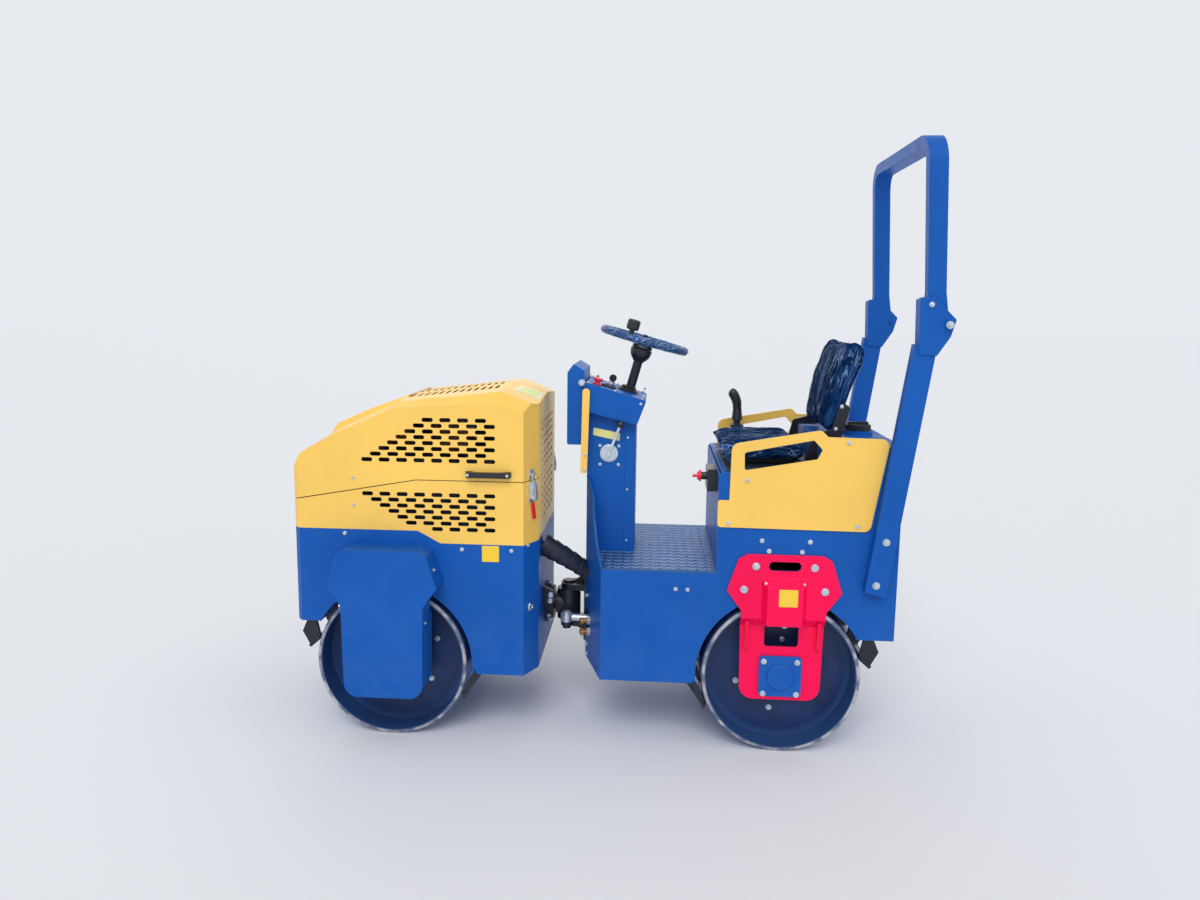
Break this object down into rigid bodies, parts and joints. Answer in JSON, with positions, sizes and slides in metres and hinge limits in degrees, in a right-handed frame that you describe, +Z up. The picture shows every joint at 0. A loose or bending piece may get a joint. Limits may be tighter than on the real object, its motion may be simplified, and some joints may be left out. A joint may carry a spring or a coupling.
{
  "type": "tandem road roller",
  "caption": "Ride-on articulated road roller with smooth tandem drums, tilting engine hood, seat, steering console and folding roll bar.",
  "frame": {"origin": "on the ground below the middle of the machine's box", "axes": "+X towards the seat end, -X towards the engine end, +Y to the driver's right, +Z up"},
  "size_m": [2.293, 0.94, 2.1499],
  "materials": {
    "slate_paint": "satin",
    "yellow_paint": "satin",
    "red_paint": "gloss",
    "drum_steel": "satin",
    "tread_plate": "satin",
    "black_plastic": "matte",
    "black_metal": "satin",
    "cast_iron": "matte",
    "bright_steel": "gloss",
    "seat_vinyl": "satin",
    "boot_rubber": "matte"
  },
  "bodies": {
    "rear_frame": {"battery_isolator": "black_plastic", "console_handles": "yellow_paint", "console_post": "slate_paint", "console_shield": "slate_paint", "filler_cap": "black_plastic", "floor_plate": "tread_plate", "footwell_wings": "slate_paint", "hinge_bracket": "black_metal", "hose_boot": "boot_rubber", "instrument_box": "slate_paint", "rear_chassis": "slate_paint", "rear_drive_yoke": "slate_paint", "rear_drum_motor": "black_metal", "rear_hub_plate": "slate_paint", "rear_lifting_yoke": "red_paint", "rear_motor_guard": "slate_paint", "rear_scrapers": "black_metal", "rops_legs": "slate_paint", "seat_back": "seat_vinyl", "seat_cushion": "seat_vinyl", "seat_frame": "black_metal", "side_panels": "yellow_paint", "steering_column": "black_metal", "throttle_lever": "bright_steel", "travel_lever": "black_plastic"},
    "knuckle": {"centre_knuckle": "black_metal"},
    "front_frame": {"front_chassis": "slate_paint", "lower_hood": "yellow_paint", "hood_hinge_fixed": "bright_steel", "hood_latches": "bright_steel", "engine_block": "cast_iron", "front_lifting_yoke": "red_paint", "front_drive_yoke": "slate_paint", "front_hub_plate": "slate_paint", "front_motor_guard": "slate_paint", "front_drum_motor": "black_metal", "roll_housing": "black_metal", "front_scrapers": "black_metal"},
    "hood": {"engine_hood": "yellow_paint", "hood_hinge_leaves": "bright_steel", "hood_handles": "black_plastic"},
    "front_roller": {"front_drum": "drum_steel"},
    "rear_roller": {"rear_drum": "drum_steel"},
    "wheel": {"steering_wheel": "black_plastic"},
    "roll_bar": {"rops_hoop": "slate_paint"},
    "cylinder": {"steer_barrel": "black_metal"},
    "piston": {"steer_rod": "bright_steel"}
  },
  "joints": [
    {"name": "articulation", "type": "hinge", "parent": "rear_frame", "child": "knuckle", "pos_m": [-0.1555, 0, 0.42], "axis": [0, 0, 1], "range_deg": [-28, 28], "deforming": ["hose_boot"]},
    {"name": "oscillation", "type": "hinge", "parent": "knuckle", "child": "front_frame", "pos_m": [-0.1555, 0, 0.42], "axis": [1, 0, 0], "range_deg": [-6, 6]},
    {"name": "front_drum_spin", "type": "hinge", "parent": "front_frame", "child": "front_roller", "pos_m": [-0.7805, 0, 0.28], "axis": [0, 1, 0], "continuous": true},
    {"name": "rear_drum_spin", "type": "hinge", "parent": "rear_frame", "child": "rear_roller", "pos_m": [0.6345, 0, 0.28], "axis": [0, 1, 0], "continuous": true},
    {"name": "hood_tilt", "type": "hinge", "parent": "front_frame", "child": "hood", "pos_m": [-1.1395, 0, 0.885], "axis": [0, -1, 0], "range_deg": [0, 50]},
    {"name": "wheel_turn", "type": "hinge", "parent": "rear_frame", "child": "wheel", "pos_m": [0.1245, 0, 1.461], "axis": [0.2656, 0, 0.9641], "range_deg": [-340, 340]},
    {"name": "roll_bar_fold", "type": "hinge", "parent": "rear_frame", "child": "roll_bar", "pos_m": [1.1225, 0, 1.534], "axis": [0, 1, 0], "range_deg": [0, 160]},
    {"name": "cylinder_swing", "type": "hinge", "parent": "rear_frame", "child": "cylinder", "pos_m": [0.2145, -0.096, 0.3885], "axis": [0, 0, 1], "range_deg": [-4, 4]},
    {"name": "piston_slide", "type": "slide", "parent": "cylinder", "child": "piston", "axis": [-1, 0, 0], "range_m": [-0.055, 0.055]}
  ],
  "couplings": [
    {"joint": "wheel_turn", "follows": "articulation", "ratio": 12},
    {"joint": "cylinder_swing", "follows": "articulation", "ratio": -0.0075},
    {"joint": "piston_slide", "follows": "articulation", "m_per_rad": -0.0923}
  ]
}
